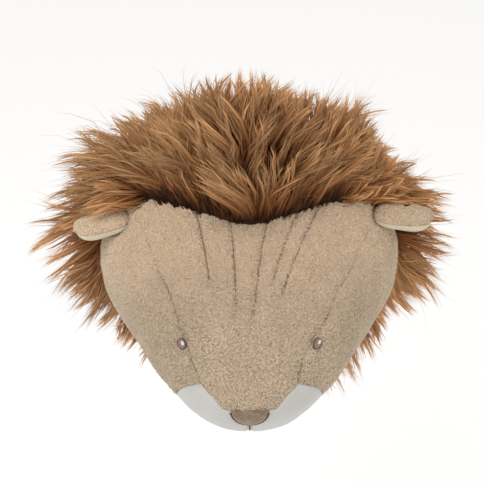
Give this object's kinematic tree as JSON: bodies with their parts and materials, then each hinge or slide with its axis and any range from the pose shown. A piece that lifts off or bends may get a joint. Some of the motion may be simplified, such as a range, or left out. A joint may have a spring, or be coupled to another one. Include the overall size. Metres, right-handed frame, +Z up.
{
  "type": "plush lion head wall mask",
  "caption": "Stuffed plush lion head with a long-pile fur mane, white muzzle and small folded ears, on a flat back that lies on the wall.",
  "frame": {"origin": "middle of the back face of the board, on the wall", "axes": "+Z up the wall, +Y into the wall, +X to the right as seen from in front; the head looks along -Y"},
  "size_m": [0.3794, 0.2145, 0.3301],
  "materials": {
    "teddy_plush": "short curly teddy pile",
    "white_plush": "smooth short nap",
    "nose_velvet": "velvet",
    "dark_thread": "satin thread",
    "brown_thread": "matte thread",
    "eye_thread": "embroidered satin stitch",
    "ear_lining": "smooth cloth",
    "mane_fur": "long-pile fur",
    "board_cloth": "plain woven cloth"
  },
  "bodies": {
    "root": {"head": "teddy_plush", "muzzle": "white_plush", "nose": "nose_velvet", "nose_stitch": "dark_thread", "mouth_stitch": "dark_thread", "forehead_stitch_1": "brown_thread", "forehead_stitch_2": "brown_thread", "forehead_stitch_3": "brown_thread", "forehead_stitch_4": "brown_thread", "forehead_stitch_5": "brown_thread", "eye_left": "eye_thread", "eye_right": "eye_thread", "ear_left": "teddy_plush", "ear_right": "teddy_plush", "ear_lining_left": "ear_lining", "ear_lining_right": "ear_lining", "mane": "mane_fur", "back_board": "board_cloth"}
  },
  "joints": []
}
